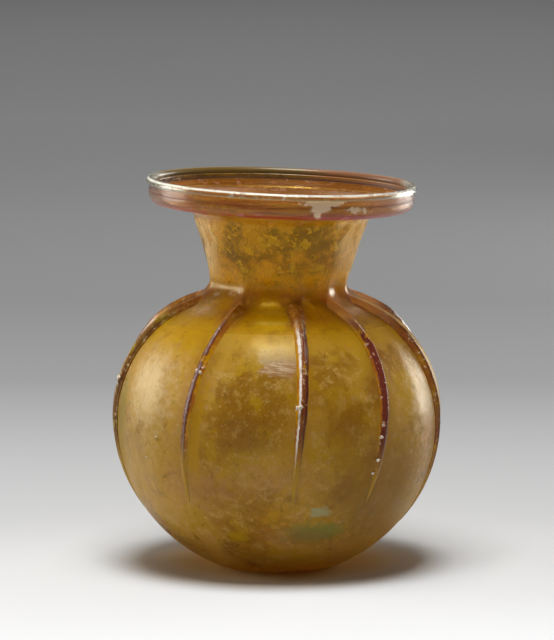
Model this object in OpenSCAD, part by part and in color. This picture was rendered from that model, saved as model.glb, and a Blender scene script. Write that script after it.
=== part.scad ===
// Ribbed glass oil flask: a blown ball with a thick base, pinched ribs, a funnel neck and a collar mouth.
// Millimetres. The origin is the middle of the face it stands on, +Z is up and -Y is the front.

/* [Body] */
// Widest radius of the glass ball, without its ribs
body_r = 33.8; // [32:0.1:35]
// Height of that widest part above the table
body_mid_z = 31.3; // [30:0.1:31.8]
// Rise of the shoulder above the widest part, if it went on to the axis
shoulder_rise = 27.2; // [26.8:0.1:27.8]
// Radius of the curve where the side turns into the shoulder
shoulder_turn_r = 25; // [22:0.5:25.5]
// Thickness of the wall of the ball
body_wall = 1.6; // [1.2:0.1:2]

/* [Base] */
// Thickness of the glass at the middle of the base
base_t = 3; // [2.4:0.1:3.6]
// Height at which the base ends and the wall of the ball begins
base_seam_z = 4.6; // [4.2:0.1:6]
// Radius of the shallow hollow under the base
kick_r = 10.4; // [8:0.1:11]
// Depth of that hollow
kick_depth = 0.9; // [0.5:0.1:1.2]
// Radius of the ring scar left by the iron that held the hot glass
scar_r = 5.2; // [3.5:0.1:6.5]
// Width of the ring scar
scar_w = 1; // [0.6:0.1:1.4]

/* [Neck] */
// Height at which the shoulder ends and the ring that foots the neck begins
shoulder_seam_z = 54.6; // [54.2:0.1:54.9]
// Outer radius of the neck at its narrow foot
waist_r = 13.2; // [12.8:0.1:13.6]
// Height of that foot
waist_z = 56.6; // [56.2:0.1:57]
// Outer radius of the neck where it turns into the flange
neck_top_r = 17.8; // [17.2:0.1:18.4]
// Height at which it turns into the flange
neck_top_z = 70.8; // [70.4:0.1:71.2]
// Thickness of the neck's wall
neck_wall = 1.55; // [1.2:0.05:1.8]
// Height at which the neck's own glass begins, above the ends of the ribs
neck_seam_z = 60; // [59.6:0.1:61.4]
// How far the neck's foot stands to the right of the ball's axis
neck_shift = 0.2; // [0:0.1:0.6]
// Lean of the neck and mouth to the right, in degrees
lean_deg = 1.8; // [0:0.1:2.2]

/* [Mouth] */
// Outer radius of the lip
mouth_r = 27.9; // [27:0.1:28.2]
// Height of the lip, at its middle
mouth_z = 79.4; // [79:0.1:80]
// Radius of the rounded lip
lip_r = 0.85; // [0.75:0.05:0.95]
// How far the lip stands out over the collar
lip_overhang = 0.5; // [0.2:0.1:0.6]
// Thickness of the collar
collar_t = 1.3; // [1.1:0.1:1.4]
// Outer height of the collar with its lip
collar_h = 5.4; // [5.2:0.1:5.7]
// Radius of the collar's rounded lower edge
collar_turn_r = 2.1; // [1.6:0.1:2.3]
// Depth of the dish's wall below the lip, on the inside
dish_depth = 2.4; // [2.1:0.1:2.7]

/* [Ribs] */
// Full height of a rib, before it climbs and dies away; the shoulder shows about three quarters of it
rib_h = 1.8; // [1.4:0.1:2.2]
// Width of a rib at its root, half way down
rib_w = 2.8; // [2.2:0.1:3.4]
// Width of the lobe in which a rib begins at the neck
rib_lobe_w = 4.6; // [3.6:0.1:5]

/* [Hidden] */
$fn = 96;
// Each rib's direction at the neck and at its foot, in degrees to the right of the front,
// and its foot's height
RIBS = [
    [-76, -84, 12], [-27, -36, 16], [10, 4, 16], [42, 39, 13], [70, 84, 9],
    [112, 114, 13], [148, 146, 15], [184, 186, 12], [219, 222, 14], [252, 250, 12]
];
NODES = concat(
    ["base_disc", "body_lower", "body_shoulder", "neck_foot"],
    ["neck_funnel", "mouth_flange", "collar_wall", "lip_roll"],
    [for (i = [1 : len(RIBS)]) str("rib_", i < 10 ? "0" : "", i)]
);
first_rib = len(NODES) - len(RIBS);

// The shoulder is two arcs that share a tangent: one turns the side in, one closes over the top
turn_out = body_r - shoulder_turn_r;
top_gap = shoulder_rise - shoulder_turn_r;
top_r = shoulder_turn_r + (turn_out * turn_out + top_gap * top_gap) / (2 * top_gap);
top_z = body_mid_z + shoulder_rise - top_r;
turn_deg = atan2(body_mid_z - top_z, turn_out);

// Inner radius of the ball's wall at the seam, where the floor of the base meets it
seam_in_r = sqrt(pow(body_r - body_wall, 2) - pow(body_mid_z - base_seam_z, 2));

lip_z = mouth_z - lip_r;
lip_seat_z = lip_z - lip_r / 2;
collar_r = mouth_r - lip_overhang;
collar_in_r = collar_r - collar_t;
collar_foot_z = mouth_z - collar_h;
dish_edge_z = mouth_z - dish_depth;
// Middle of the collar's rounded lower edge, and its height where the flange meets the collar
turn_mid = [collar_r - collar_turn_r, collar_foot_z + collar_turn_r];
flange_edge_z = turn_mid[1] - sqrt(pow(collar_turn_r, 2) - pow(collar_in_r - turn_mid[0], 2));
neck_steps = 10;
rib_steps = 26;
rib_top_deg = 74;
rib_sink = 0.7;
rib_root = 0.14;
rib_side = [1, 0.72, 0.44, 0.2];
// Sides of the round solids that a thin rib is seated on, fine enough to leave no step
seat_fn = 360;
far = 100;

amber = [0.74, 0.56, 0.2];
pale_amber = [0.82, 0.66, 0.32];
rose_amber = [0.78, 0.5, 0.34];
plum = [0.5, 0.3, 0.26];
lip_white = [0.9, 0.88, 0.8];

// Radius of the sphere whose cap has this rim radius and this depth
function cap_radius(rim_r, depth) = (rim_r * rim_r + depth * depth) / (2 * depth);

// Point at share t of a curve with four control points
function curve_point(p, t) =
    pow(1 - t, 3) * p[0] + 3 * pow(1 - t, 2) * t * p[1] + 3 * (1 - t) * t * t * p[2] + pow(t, 3) * p[3];
function curve(p, steps = neck_steps) = [for (i = [0 : steps]) curve_point(p, i / steps)];
function reversed(p) = [for (i = [len(p) - 1 : -1 : 0]) p[i]];

// Control points of the neck: its outer face, moved in by the wall for its inner face
function neck_controls(wall) = [
    [waist_r - wall, waist_z],
    [waist_r + 1.7 - wall, waist_z + 4.2],
    [neck_top_r - 2 - wall, neck_top_z - 4.7],
    [neck_top_r - 1.1 * wall, neck_top_z]
];

// Underside and upper face of the flange, from the neck out to the collar
under_flange = [
    [neck_top_r, neck_top_z],
    [neck_top_r + 0.4, neck_top_z + 2.2],
    [neck_top_r + 1.6, collar_foot_z - 0.5],
    [collar_in_r, flange_edge_z]
];
over_flange = [
    [neck_top_r - 1.1 * neck_wall, neck_top_z],
    [neck_top_r - 0.9, neck_top_z + 4.2],
    [collar_in_r - 2.5, dish_edge_z - 1.7],
    [collar_in_r, dish_edge_z]
];

// Outline of the ball to one side of its axis, drawn in by the thickness inset
module ball_outline(inset = 0) {
    intersection() {
        translate([0, body_mid_z]) circle(r = body_r - inset);
        translate([0, -far]) square([far, far + body_mid_z]);
    }
    intersection() {
        translate([turn_out, body_mid_z]) circle(r = shoulder_turn_r - inset);
        translate([0, body_mid_z]) square([far, far]);
    }
    intersection() {
        translate([0, top_z]) circle(r = top_r - inset);
        polygon([[0, top_z], far * [cos(turn_deg), sin(turn_deg)] + [0, top_z], [0, far]]);
    }
}

module ball(inset = 0) {
    rotate_extrude() ball_outline(inset);
}

// Stands the neck and mouth on the ball, a little to the right and leaning
module leaned() {
    translate([neck_shift, 0, waist_z]) rotate([0, lean_deg, 0]) translate([0, 0, -waist_z]) children();
}

// Turned solid under a neck curve, carried down into the ball below its foot
module neck_core(wall = 0) {
    foot = [waist_r - wall, waist_z - 3];
    leaned() rotate_extrude()
        polygon(concat([[0, foot[1]], foot], curve(neck_controls(wall)), [[0, neck_top_z]]));
}

// Everything from a height up
module above(z) {
    translate([0, 0, z]) cylinder(r = far, h = far);
}

// Everything below a height
module below(z) {
    translate([0, 0, z - far]) cylinder(r = far, h = far);
}

// Thick foot of the ball: it stands on a flat ring round a shallow hollow with its ring scar
module base_disc() {
    kick_ball_r = cap_radius(kick_r, kick_depth);
    floor_ball_r = cap_radius(seam_in_r, base_seam_z - base_t);
    color(amber) difference() {
        rotate_extrude() intersection() {
            ball_outline();
            square([far, base_seam_z]);
        }
        translate([0, 0, base_t + floor_ball_r]) sphere(r = floor_ball_r);
        difference() {
            translate([0, 0, kick_depth - kick_ball_r]) sphere(r = kick_ball_r);
            rotate_extrude() translate([scar_r, kick_depth]) circle(d = scar_w, $fn = 32);
        }
    }
}

// Section of the ball's blown wall between two heights
module wall_section(low, high) {
    intersection() {
        difference() {
            ball_outline();
            ball_outline(body_wall);
        }
        translate([0, low]) square([far, high - low]);
    }
}

// Wall of the ball from the base up to its widest part
module body_lower() {
    color(amber) rotate_extrude() wall_section(base_seam_z, body_mid_z);
}

// Wall of the ball over the shoulder
module body_shoulder() {
    color(amber) rotate_extrude() wall_section(body_mid_z, shoulder_seam_z);
}

// Top of the ball drawn out into the foot of the neck, where the glass was pinched in
module neck_foot() {
    color(pale_amber) difference() {
        union() {
            rotate_extrude() wall_section(shoulder_seam_z, far);
            neck_core();
        }
        ball(body_wall);
        neck_core(neck_wall);
        leaned() above(neck_seam_z);
    }
}

// Funnel of the neck
module neck_funnel() {
    color(pale_amber) difference() {
        neck_core();
        neck_core(neck_wall);
        leaned() below(neck_seam_z);
    }
}

// Dished flange, thicker where its edge was folded up
module mouth_flange() {
    color(rose_amber) leaned() rotate_extrude()
        polygon(concat(curve(under_flange), reversed(curve(over_flange))));
}

// Upright collar with a rounded lower edge
module collar_wall() {
    color(rose_amber) leaned() rotate_extrude() intersection() {
        union() {
            translate(turn_mid) circle(r = collar_turn_r);
            translate([collar_in_r, turn_mid[1]]) square([collar_t, lip_seat_z - turn_mid[1]]);
        }
        translate([collar_in_r, collar_foot_z]) square([collar_t, lip_seat_z - collar_foot_z]);
    }
}

// Lip, rounded in the fire, standing out a little over the collar
module lip_roll() {
    color(lip_white) leaned() rotate_extrude() intersection() {
        translate([mouth_r - lip_r, lip_z]) circle(r = lip_r, $fn = 48);
        translate([0, lip_seat_z]) square([far, far]);
    }
}

// Centre and radius of the arc that the ball's outline follows where its face looks up at an angle
function outline_arc(up_deg) =
    up_deg < 0 ? [0, body_mid_z, body_r] :
    up_deg < turn_deg ? [turn_out, body_mid_z, shoulder_turn_r] : [0, top_z, top_r];

// Point on the ball's wall, out by rise and sideways by side
function on_ball(up_deg, turn, side, rise) =
    let (arc = outline_arc(up_deg),
         out = arc[0] + (arc[2] + rise) * cos(up_deg),
         up = arc[1] + (arc[2] + rise) * sin(up_deg))
    [out * sin(turn) + side * cos(turn), -out * cos(turn) + side * sin(turn), up];

// A rib starts low at the neck, stands out most on the shoulder and dies away
// The share s runs from its top to its foot
function rib_rise(s) = rib_h * (0.3 + 0.7 * sin(90 * min(1, s / 0.3))) * pow(1 - s, 0.8);
function rib_half(s) = (rib_w * (1 - 0.25 * s) + (rib_lobe_w - rib_w) * pow(max(0, 1 - s / 0.25), 2)) / 2;

// Half section of a rib, as pairs of side and rise: a pinched ridge with hollow flanks
function rib_half_section(s, hand) =
    [for (t = rib_side) [hand * t * rib_half(s), rib_rise(s) * pow(cos(90 * t), 2) - rib_root]];
function rib_section(s) = concat(
    [[-0.85 * rib_half(s), -rib_sink]],
    rib_half_section(s, -1),
    [[0, rib_rise(s) - rib_root]],
    reversed(rib_half_section(s, 1)),
    [[0.85 * rib_half(s), -rib_sink]]
);

// Solid lofted through the ring of points that each step of a rib has
module rib_loft(top_turn, foot_turn, foot_z) {
    foot_deg = asin((foot_z - body_mid_z) / body_r);
    rings = [for (i = [0 : rib_steps])
        let (s = i / rib_steps,
             up_deg = rib_top_deg + (foot_deg - rib_top_deg) * s,
             turn = top_turn + (foot_turn - top_turn) * s)
        [for (p = rib_section(s)) on_ball(up_deg, turn, p[0], p[1])]];
    sides = len(rings[0]);
    last = rib_steps * sides;
    polyhedron(
        points = [for (ring = rings) each ring],
        faces = concat(
            [[for (j = [sides - 1 : -1 : 0]) j]],
            [for (i = [0 : rib_steps - 1], j = [0 : sides - 1])
                let (a = i * sides + j, b = i * sides + (j + 1) % sides)
                each [[a, b, b + sides], [a, b + sides, a + sides]]],
            [[for (j = [0 : sides - 1]) last + j]]
        )
    );
}

// One pinched rib, seated on the ball and against the foot of the neck
module rib(i) {
    color(plum) difference() {
        rib_loft(RIBS[i][0], RIBS[i][1], RIBS[i][2]);
        ball($fn = seat_fn);
        neck_core($fn = seat_fn);
    }
}

base_disc();
body_lower();
body_shoulder();
neck_foot();
neck_funnel();
mouth_flange();
collar_wall();
lip_roll();
for (i = [0 : len(RIBS) - 1]) rib(i);
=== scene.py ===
"""Ribbed oil flask of old amber glass: its blown body, neck, mouth, ribs and weathered skin, in metres."""

from __future__ import annotations

import logging
import math
from dataclasses import asdict, dataclass
from enum import Enum
from typing import Any, Callable, Sequence, Union

import bmesh
import bpy
import numpy as np
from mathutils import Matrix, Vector

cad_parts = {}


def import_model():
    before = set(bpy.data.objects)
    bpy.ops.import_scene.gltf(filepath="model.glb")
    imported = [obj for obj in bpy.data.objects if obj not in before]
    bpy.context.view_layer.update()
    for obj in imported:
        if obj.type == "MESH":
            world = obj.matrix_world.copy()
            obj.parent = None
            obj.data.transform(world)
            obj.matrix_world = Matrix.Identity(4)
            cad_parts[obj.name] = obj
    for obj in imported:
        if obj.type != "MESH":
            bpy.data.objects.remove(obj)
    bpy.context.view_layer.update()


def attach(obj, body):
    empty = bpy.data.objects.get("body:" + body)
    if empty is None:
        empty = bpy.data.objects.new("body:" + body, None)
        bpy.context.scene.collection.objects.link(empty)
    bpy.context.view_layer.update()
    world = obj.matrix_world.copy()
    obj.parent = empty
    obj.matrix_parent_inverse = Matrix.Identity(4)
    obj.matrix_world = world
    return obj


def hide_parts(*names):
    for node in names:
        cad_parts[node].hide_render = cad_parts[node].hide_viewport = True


LOG = logging.getLogger("flask")
MM = 0.001
Colour = tuple[float, float, float, float]
Pair = tuple[float, float]
Point = tuple[float, float, float]
Screen = tuple[int, int, int]


def shade(red: float, green: float, blue: float) -> Colour:
    """Turn a colour as it is seen on a screen into the linear colour that a shader takes.

    Args:
        red: Red, from 0 to 255.
        green: Green, from 0 to 255.
        blue: Blue, from 0 to 255.

    Returns:
        The linear colour with an alpha of one.
    """
    def linear(level: float) -> float:
        """Undo the screen's curve for one channel."""
        part = level / 255.0
        return part / 12.92 if part <= 0.04045 else ((part + 0.055) / 1.055) ** 2.4

    return (linear(red), linear(green), linear(blue), 1.0)


# Node graphs


def operator(operation: str, swapped: bool = False) -> Callable[["Socket", "Value"], "Socket"]:
    """Make the method of one operator, which adds a Math node.

    Args:
        operation: The node's operation.
        swapped: Whether the other value comes first.

    Returns:
        The method.
    """
    def apply(self: "Socket", other: "Value") -> "Socket":
        """Add the node on this socket and another value."""
        return self.graph.math(operation, *((other, self) if swapped else (self, other)))

    return apply


class Socket:
    """An output of a node, with the arithmetic of plain numbers."""

    def __init__(self, graph: "Graph", socket: bpy.types.NodeSocket) -> None:
        """Keep the socket and the graph that it belongs to."""
        self.graph = graph
        self.socket = socket

    __add__ = __radd__ = operator("ADD")
    __sub__ = operator("SUBTRACT")
    __rsub__ = operator("SUBTRACT", swapped=True)
    __mul__ = __rmul__ = operator("MULTIPLY")
    __truediv__ = operator("DIVIDE")
    __pow__ = operator("POWER")
    __lt__ = operator("LESS_THAN")
    __gt__ = operator("GREATER_THAN")

    def fade(self, start: float, end: float, low: float = 0.0, high: float = 1.0) -> "Socket":
        """Pass smoothly from low to high as the value goes from start to end."""
        inputs = {0: self, 1: start, 2: end, 3: low, 4: high}
        return self.graph.out("ShaderNodeMapRange", {"interpolation_type": "SMOOTHSTEP"}, inputs)

    def fade_abs(self, start: float, end: float) -> "Socket":
        """Pass smoothly from nought to one as the value, without its sign, goes from start to end."""
        return self.graph.math("ABSOLUTE", self).fade(start, end)


Value = Union[float, Socket]
Paint = Union[Screen, Socket]


class Graph:
    """A shader or geometry tree that is written as expressions."""

    def __init__(self, tree: bpy.types.NodeTree) -> None:
        """Start from an empty tree."""
        self.tree = tree
        tree.nodes.clear()

    def node(self, kind: str, settings: dict[str, Any] | None = None,
             inputs: dict[Any, Any] | None = None) -> bpy.types.Node:
        """Add one node.

        Args:
            kind: The node's type.
            settings: Its properties, set first; "stops" fills a colour ramp.
            inputs: Numbers, colours or sockets by the input's name or index.

        Returns:
            The node.
        """
        made = self.tree.nodes.new(kind)
        for name, value in (settings or {}).items():
            if name == "stops":
                self.fill_ramp(made.color_ramp, value)
            else:
                setattr(made, name, value)
        for key, value in (inputs or {}).items():
            if isinstance(value, Socket):
                self.tree.links.new(value.socket, made.inputs[key])
            else:
                made.inputs[key].default_value = value
        return made

    @staticmethod
    def fill_ramp(ramp: bpy.types.ColorRamp, stops: Sequence[tuple[float, Colour]]) -> None:
        """Give a ramp its stops.

        Args:
            ramp: The ramp.
            stops: The place and colour of each stop.
        """
        while len(ramp.elements) < len(stops):
            ramp.elements.new(1.0)
        for element, (place, colour) in zip(ramp.elements, stops):
            element.position = place
            element.color = colour

    def out(self, kind: str, settings: dict[str, Any] | None = None,
            inputs: dict[Any, Any] | None = None, output: Any = 0) -> Socket:
        """Add one node and give one of its outputs."""
        return Socket(self, self.node(kind, settings, inputs).outputs[output])

    def math(self, operation: str, first: Value, second: Value = 0.0, clamp: bool = False) -> Socket:
        """Add a Math node on one or two values."""
        return self.out("ShaderNodeMath", {"operation": operation, "use_clamp": clamp}, {0: first, 1: second})

    def vector(self, operation: str, first: Any, second: Any = (0.0, 0.0, 0.0), output: int = 0) -> Socket:
        """Add a Vector Math node on two vectors."""
        return self.out("ShaderNodeVectorMath", {"operation": operation}, {0: first, 1: second}, output)

    def scaled(self, vector: Any, amount: Value) -> Socket:
        """Scale a vector by a number."""
        return self.out("ShaderNodeVectorMath", {"operation": "SCALE"}, {0: vector, 3: amount})

    def mix(self, factor: Value, low: Any, high: Any, blend: str = "MIX") -> Socket:
        """Mix two colours, factor being the share of the second."""
        settings = {"data_type": "RGBA", "blend_type": blend, "clamp_factor": True}
        return self.out("ShaderNodeMix", settings, {0: factor, 6: low, 7: high}, 2)

    def layers(self, ground: Paint, *coats: tuple[Value, Paint]) -> Socket:
        """Paint coats one over the other.

        Args:
            ground: The first colour, as seen on a screen or from a socket.
            coats: The share and the colour of each coat.

        Returns:
            The colour with every coat on it.
        """
        tone = ground if isinstance(ground, Socket) else shade(*ground)
        for share, colour in coats:
            tone = self.mix(share, tone, colour if isinstance(colour, Socket) else shade(*colour))
        return tone

    def noise(self, place: Socket, size_mm: float, detail: float = 3.0, rough: float = 0.55,
              distortion: float = 0.0) -> Socket:
        """Give a soft noise whose forms are about as large as a size in millimetres."""
        inputs = {"Vector": place, "Scale": 1.0 / size_mm, "Detail": detail, "Roughness": rough,
                  "Distortion": distortion}
        return self.out("ShaderNodeTexNoise", {"noise_dimensions": "3D"}, inputs)

    def blend(self, share: Value, low: Value, high: Value) -> Socket:
        """Mix two numbers."""
        return low + (high - low) * share

    def limit(self, value: Value) -> Socket:
        """Keep a value between nought and one."""
        return self.math("ADD", value, 0.0, clamp=True)

    def mark(self, label: str) -> Socket:
        """Read one of the mesh's own attributes in a shader."""
        return self.out("ShaderNodeAttribute", {"attribute_name": label}, output="Fac")

    def place_mm(self) -> Socket:
        """Read the place on the object, in millimetres."""
        return self.scaled(self.out("ShaderNodeTexCoord", output="Object"), 1.0 / MM)

    def parts(self, vector: Socket) -> tuple[Socket, ...]:
        """Split a vector into its three numbers."""
        split = self.node("ShaderNodeSeparateXYZ", None, {0: vector})
        return tuple(Socket(self, split.outputs[axis]) for axis in range(3))

    def combine(self, x: Value, y: Value, z: Value) -> Socket:
        """Make a vector from three numbers."""
        return self.out("ShaderNodeCombineXYZ", None, {0: x, 1: y, 2: z})


# The blown form


class Flank(Enum):
    """Where a band of colour runs on a rib, across its width."""

    LEFT = -0.42
    MIDDLE = 0.0
    RIGHT = 0.42


@dataclass(frozen=True)
class RibLine:
    """Where one rib runs, in degrees to the right of the front, its foot's height, and its bands of colour."""

    top_turn: float
    foot_turn: float
    foot_z: float
    sway: float = 0.0
    plum: float = 0.7
    plum_at: Flank = Flank.LEFT
    pale: float = 0.3
    pale_at: Flank = Flank.RIGHT
    green: float = 0.0


RIB_LINES: tuple[RibLine, ...] = (
    RibLine(-75, -82, 12, 0.0, 0.7, Flank.RIGHT, 0.1, Flank.MIDDLE, 0.7),
    RibLine(-25.5, -36, 16, -0.5, 1.0, Flank.LEFT, 0.2, Flank.MIDDLE),
    RibLine(11.5, 5.2, 16, 0.8, 0.85, Flank.RIGHT, 1.0, Flank.LEFT),
    RibLine(42, 34.5, 13, 3.0, 1.0, Flank.MIDDLE, 0.2, Flank.RIGHT),
    RibLine(70, 80, 9, -1.5, 0.65, Flank.LEFT, 0.2, Flank.RIGHT, 0.1),
    RibLine(112, 114, 13),
    RibLine(148, 146, 15, 0.0, 0.8, Flank.RIGHT, 0.4, Flank.LEFT),
    RibLine(184, 186, 12, 0.0, 0.7, Flank.LEFT, 0.5),
    RibLine(219, 222, 14, 0.0, 0.9, Flank.MIDDLE),
    RibLine(252, 250, 12),
)


@dataclass(frozen=True)
class FlaskForm:
    """Sizes of the blown form in millimetres, and the curves that follow from them."""

    body_r: float = 33.8
    mid_z: float = 31.3
    rise: float = 27.2
    turn_r: float = 25.0
    wall: float = 1.6
    base_t: float = 3.0
    kick_r: float = 10.4
    kick_depth: float = 0.9
    waist_r: float = 13.2
    waist_z: float = 56.6
    neck_top_r: float = 17.8
    neck_top_z: float = 70.8
    neck_wall: float = 1.55
    neck_shift: float = 0.2
    lean_deg: float = 1.8
    mouth_r: float = 27.9
    mouth_z: float = 79.4
    lip_r: float = 0.85
    lip_overhang: float = 0.5
    collar_t: float = 1.3
    collar_h: float = 5.4
    collar_turn_r: float = 2.1
    dish_depth: float = 2.4
    rib_top_deg: float = 74.0
    rib_h: float = 1.8
    rib_w: float = 2.8
    rib_lobe_w: float = 4.6

    @property
    def turn_out(self) -> float:
        """Distance from the axis to the middle of the arc that turns the side in."""
        return self.body_r - self.turn_r

    @property
    def top_r(self) -> float:
        """Radius of the arc that closes over the top."""
        gap = self.rise - self.turn_r
        return self.turn_r + (self.turn_out ** 2 + gap ** 2) / (2 * gap)

    @property
    def top_z(self) -> float:
        """Height of the middle of the arc that closes over the top."""
        return self.mid_z + self.rise - self.top_r

    @property
    def turn_deg(self) -> float:
        """Angle at which the two upper arcs meet."""
        return math.degrees(math.atan2(self.mid_z - self.top_z, self.turn_out))

    @property
    def collar_r(self) -> float:
        """Outer radius of the collar under its lip."""
        return self.mouth_r - self.lip_overhang

    @property
    def collar_in_r(self) -> float:
        """Inner radius of the collar."""
        return self.collar_r - self.collar_t

    @property
    def lip_z(self) -> float:
        """Height of the middle of the rounded lip."""
        return self.mouth_z - self.lip_r

    @property
    def lip_seat_z(self) -> float:
        """Height at which the lip sits on the collar."""
        return self.lip_z - self.lip_r / 2

    @property
    def collar_foot_z(self) -> float:
        """Height of the collar's lower edge."""
        return self.mouth_z - self.collar_h

    @property
    def dish_edge_z(self) -> float:
        """Height at which the dish meets the collar."""
        return self.mouth_z - self.dish_depth

    @property
    def flange_edge_z(self) -> float:
        """Height at which the underside of the flange meets the collar."""
        out = self.collar_in_r - (self.collar_r - self.collar_turn_r)
        return self.collar_foot_z + self.collar_turn_r - math.sqrt(self.collar_turn_r ** 2 - out ** 2)

    def on_wall(self, up_deg: float, inset: float = 0.0) -> Pair:
        """Find a point of the ball's wall.

        Args:
            up_deg: The angle at which the wall faces up there.
            inset: How far inside the outer face the point lies.

        Returns:
            The point's radius and height.
        """
        out, high, reach = 0.0, self.mid_z, self.body_r
        if up_deg >= self.turn_deg:
            high, reach = self.top_z, self.top_r
        elif up_deg >= 0:
            out, reach = self.turn_out, self.turn_r
        up = math.radians(up_deg)
        return (out + (reach - inset) * math.cos(up), high + (reach - inset) * math.sin(up))

    def neck_curve(self, wall: float, steps: int = 44) -> list[Pair]:
        """Give the neck's outer face, or its inner face with the wall taken off."""
        return bezier((
            (self.waist_r - wall, self.waist_z),
            (self.waist_r + 1.7 - wall, self.waist_z + 4.2),
            (self.neck_top_r - 2 - wall, self.neck_top_z - 4.7),
            (self.neck_top_r - 1.1 * wall, self.neck_top_z),
        ), steps)

    def under_flange(self) -> list[Pair]:
        """Give the underside of the flange, from the neck out."""
        return bezier((
            (self.neck_top_r, self.neck_top_z),
            (self.neck_top_r + 0.4, self.neck_top_z + 2.2),
            (self.neck_top_r + 1.6, self.collar_foot_z - 0.5),
            (self.collar_in_r, self.flange_edge_z),
        ), 30)

    def over_flange(self) -> list[Pair]:
        """Give the floor of the dish, from the neck out."""
        return bezier((
            (self.neck_top_r - 1.1 * self.neck_wall, self.neck_top_z),
            (self.neck_top_r - 0.9, self.neck_top_z + 4.2),
            (self.collar_in_r - 2.5, self.dish_edge_z - 1.7),
            (self.collar_in_r, self.dish_edge_z),
        ), 30)

    def rib_height(self, share: np.ndarray) -> np.ndarray:
        """Find how far a rib stands out.

        Args:
            share: Shares of its length, from its top to its foot.

        Returns:
            Its height there.
        """
        share = np.clip(share, 0.0, 1.0)
        climb = 0.3 + 0.7 * np.sin(np.radians(90) * np.minimum(1.0, share / 0.3))
        return self.rib_h * climb * (1 - share) ** 0.8

    def foot_deg(self, foot_z: float) -> float:
        """Give the angle at which the wall faces at a height in the lower half."""
        return math.degrees(math.asin((foot_z - self.mid_z) / self.body_r))


def bezier(control: Sequence[Pair], steps: int) -> list[Pair]:
    """Give points along a curve.

    Args:
        control: The curve's four control points.
        steps: Number of steps.

    Returns:
        The points, ends included.
    """
    points = []
    for index in range(steps + 1):
        t = index / steps
        weights = ((1 - t) ** 3, 3 * (1 - t) ** 2 * t, 3 * (1 - t) * t * t, t ** 3)
        points.append(tuple(sum(w * p[axis] for w, p in zip(weights, control)) for axis in (0, 1)))
    return points


def smooth_step(value: np.ndarray, start: float, end: float) -> np.ndarray:
    """Pass smoothly from nought to one between two values."""
    share = np.clip((value - start) / (end - start), 0.0, 1.0)
    return share * share * (3 - 2 * share)


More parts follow.
